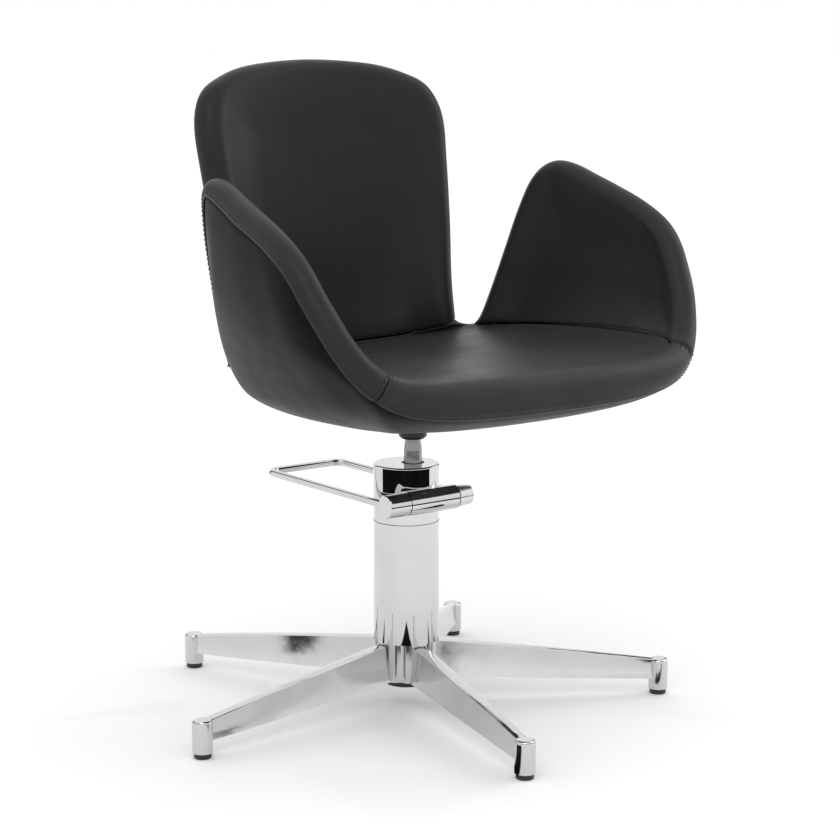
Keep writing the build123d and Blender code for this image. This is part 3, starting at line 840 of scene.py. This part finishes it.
def stitch_form():
    """One stitch: a short bead of thread, along X, with Z away from the leather."""
    rings, turns = 5, 6
    points = []
    for a in np.linspace(-1, 1, rings + 2)[1:-1]:
        radius = THREAD_R * math.sqrt(1 - a * a)
        for b in np.arange(turns) * 2 * math.pi / turns:
            points.append((a * STITCH / 2, radius * math.cos(b), radius * math.sin(b)))
    points += [(-STITCH / 2, 0, 0), (STITCH / 2, 0, 0)]
    faces = []
    low, high, last = len(points) - 2, len(points) - 1, (rings - 1) * turns
    for k in range(turns):
        n = (k + 1) % turns
        for r in range(0, last, turns):
            faces.append((r + k, r + n, r + turns + n, r + turns + k))
        faces.append((low, n, k))
        faces.append((high, last + k, last + n))
    return np.array(points), faces


def stitch_rows(name, rows):
    """Stitches along lines on the leather. Each row is its points and the leather's normals there."""
    form, form_faces = stitch_form()
    points, faces = [], []
    for line, facing in rows:
        length = lengths(line)
        at = np.arange(PITCH / 2, length[-1], PITCH)
        way = unit(directions(at, length, line))
        up = at_lengths(at, length, facing)
        up = unit(up - (up * way).sum(1, keepdims=True) * way)
        for o, x, y, z in zip(at_lengths(at, length, line), way, np.cross(up, way), up):
            start = len(points) * len(form)
            points.append(o + PROUD * z + form @ np.stack([x, y, z]))
            faces += [tuple(start + i for i in f) for f in form_faces]
    obj = new_object(name, np.vstack(points).tolist(), faces)
    obj.data.materials.append(THREAD)
    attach(smooth(obj), BODY)


def band_row(low, high, count=120):
    """A line round the rim's leather, a little inside its outer seam."""
    stretch = Stretch(low, high, even(count))
    line = stretch.point(stretch.ends + INSET / stretch.radius)
    return line, line - stretch.middle


def across_row(low, high, from_end):
    """A line across the rim's leather, beside the seam at one end of a stretch."""
    share = INSET / (RIM_LENGTH[KNOT[high]] - RIM_LENGTH[KNOT[low]])
    stretch = Stretch(low, high, np.array([1 - share if from_end else share]))
    line = np.vstack([stretch.point(a) for a in np.linspace(math.pi / 2, float(stretch.ends[0]), 24)])
    return line, line - stretch.middle


def grid_row(grid, towards, distance):
    """A line on a grid at a distance up from its foot."""
    up, n = run(grid, 0), normals(grid, towards)
    columns = range(grid.shape[1])
    return tuple(np.vstack([at_lengths([distance], up[:, k], of[:, k]) for k in columns]) for of in (grid, n))


def mirrored(row):
    return row[0] * MIRROR, row[1] * MIRROR


NOTCH_KNOT, CROSS_KNOT, ARM_KNOT = FIRST + BACK_FOOT, FIRST + CROSS_SEAM, FIRST + ARM_SEAM
arm_rows = [band_row(ARM_KNOT, CROSS_KNOT, 240), grid_row(ARM_GRID, ARM_FACES, ARM_FOOT_INSET),
            across_row(FIRST + ARM_CREST, CROSS_KNOT, True)]
seat_rows = [across_row(CROSS_KNOT, LAST, False), band_row(CROSS_KNOT, LAST)]
back_rows = [band_row(0, NOTCH_KNOT, 240)]
stitch_rows("left_arm_stitching", arm_rows)
stitch_rows("right_arm_stitching", [mirrored(row) for row in arm_rows])
stitch_rows("seat_stitching", seat_rows + [mirrored(row) for row in seat_rows])
stitch_rows("back_stitching", back_rows + [mirrored(row) for row in back_rows]
            + [grid_row(BACK_GRID, BACK_FACES, BACK_FOOT_INSET)])


# ================= the joint in the column =================
JOINT_R, JOINT_HALF, JOINT_Z = 0.0399, 0.00045, 0.231


def head_joint():
    """The fine dark joint between the pump's cap and the column's tube."""
    around, turns = 8, 128
    points, faces = [], []
    for k in range(turns):
        a = 2 * math.pi * k / turns
        for j in range(around):
            b = 2 * math.pi * j / around
            reach = JOINT_R + JOINT_HALF * math.cos(b)
            points.append((reach * math.cos(a), reach * math.sin(a), JOINT_Z + JOINT_HALF * math.sin(b)))
            k1, j1 = (k + 1) % turns, (j + 1) % around
            faces.append((k * around + j, k1 * around + j, k1 * around + j1, k * around + j1))
    obj = smooth(new_object("head_joint", points, faces))
    obj.data.materials.append(RUBBER)
    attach(obj, "base")


head_joint()

# ================= camera, light and floor =================
cam_data = bpy.data.cameras.new("camera")
cam_data.sensor_width, cam_data.lens = 36.0, 98.76
camera = bpy.data.objects.new("camera", cam_data)
camera.location = (-1.6490, -2.1898, 0.8475)
camera.rotation_mode = "QUATERNION"
camera.rotation_quaternion = Vector((0.59678, 0.78254, -0.17743)).to_track_quat("-Z", "Y")
bpy.context.scene.collection.objects.link(camera)
bpy.context.scene.camera = camera
bpy.context.scene.view_settings.view_transform = "Standard"
TOWARDS_CAMERA = math.atan2(camera.location.y, camera.location.x)


def sky():
    """A studio surround: white at the horizon, a little brighter overhead."""
    world = bpy.data.worlds.new("studio")
    bpy.context.scene.world = world
    world.use_nodes = True
    tree = world.node_tree
    place = node(tree, "ShaderNodeTexCoord")
    split = node(tree, "ShaderNodeSeparateXYZ")
    tree.links.new(place.outputs["Generated"], split.inputs["Vector"])
    tones = ramp(tree, split.outputs["Z"], grey(1.0), grey(1.15), 0.0, 1.0)
    tree.links.new(tones, tree.nodes["Background"].inputs["Color"])
    tree.nodes["Background"].inputs["Strength"].default_value = 1.0


def floor():
    line = np.linspace(-30, 30, 5)
    x, y = np.meshgrid(line, line)
    mesh = Mesh()
    mesh.grid(np.stack([x, y, 0 * x - 0.0002], -1), (0, 0, 1))
    obj = mesh.make("floor")
    mat, tree, shader = new_material("floor")
    drift, _ = noise(tree, 0.7)
    tree.links.new(ramp(tree, drift, grey(0.93), grey(0.95)), shader.inputs["Base Color"])
    shader.inputs["Roughness"].default_value = 0.8
    obj.data.materials.append(mat)


def aimed(obj, place, aim):
    obj.location, obj.rotation_mode = place, "QUATERNION"
    obj.rotation_quaternion = (Vector(aim) - Vector(place)).to_track_quat("-Z", "Y")


def soft_box(name, size, place, aim, power):
    data = bpy.data.lights.new(name, "AREA")
    data.shape, data.size, data.size_y, data.energy = "RECTANGLE", *size, power
    obj = bpy.data.objects.new(name, data)
    aimed(obj, place, aim)
    bpy.context.scene.collection.objects.link(obj)


def reflected_only(mesh, name, low, high, grain, rough, shine):
    """A dark flag that shows in nothing but the metal's and the leather's reflections."""
    obj = mesh.make(name)
    mat, tree, shader = new_material(name)
    shade, _ = noise(tree, grain)
    tree.links.new(ramp(tree, shade, grey(low), grey(high)), shader.inputs["Base Color"])
    shader.inputs["Roughness"].default_value = rough
    shader.inputs["Specular IOR Level"].default_value = shine
    obj.data.materials.append(mat)
    obj.visible_camera = obj.visible_diffuse = obj.visible_shadow = False
    return obj


def flag_board(name, size, place, aim):
    x, y = size[0] / 2, size[1] / 2
    mesh = Mesh()
    mesh.grid(np.array([[(-x, -y, 0), (x, -y, 0)], [(-x, y, 0), (x, y, 0)]], float), (0, 0, -1))
    aimed(reflected_only(mesh, name, 0.016, 0.02, 2.0, 1.0, 0.5), place, aim)


def flag_ring():
    """A dark wall round the front, low enough that only the pump's cap and the lever mirror it."""
    radius, low, high = 0.5, 0.160, 0.24
    turn = TOWARDS_CAMERA + np.radians(np.linspace(-88, 86, 40))
    ring = np.stack([radius * np.cos(turn), radius * np.sin(turn), 0 * turn], 1)
    mesh = Mesh()
    mesh.grid(np.stack([ring + [0, 0, low], ring + [0, 0, high]]), (0, 0, 1))
    reflected_only(mesh, "flag_ring", 0.006, 0.012, 3.0, 0.5, 0.0)


def flag_wedges():
    """Three dark wedges on the floor, mirrored as the dark points at the foot of the column."""
    mesh = Mesh()
    for start, end, point in ((-27, 27, 0), (-92, -80, -80), (78, 88, 78)):
        rows = []
        for distance, share in ((0.27, 1.0), (0.31, 0.85), (0.35, 0.5), (0.40, 0.24), (0.45, 0.02)):
            turn = TOWARDS_CAMERA + np.radians(point + share * (np.linspace(start, end, 7) - point))
            rows.append(np.stack([distance * np.cos(turn), distance * np.sin(turn), 0 * turn + 0.001], 1))
        mesh.grid(np.stack(rows), (0, 0, 1))
    reflected_only(mesh, "flag_wedges", 0.006, 0.012, 3.0, 0.5, 0.0)


sky()
floor()
soft_box("key", (1.6, 1.6), (-1.5, -1.6, 2.6), (0, 0, 0.5), 13.0)
soft_box("rim", (0.8, 1.8), (2.3, -0.6, 1.7), (0.1, -0.1, 0.5), 8.0)
flag_board("flag_left", (0.5, 1.6), (-0.5, 1.9, 0.8), (0, 0, 0.3))
flag_board("flag_right", (0.5, 1.6), (1.9, 1.0, 0.8), (0, 0, 0.3))
flag_ring()
flag_wedges()
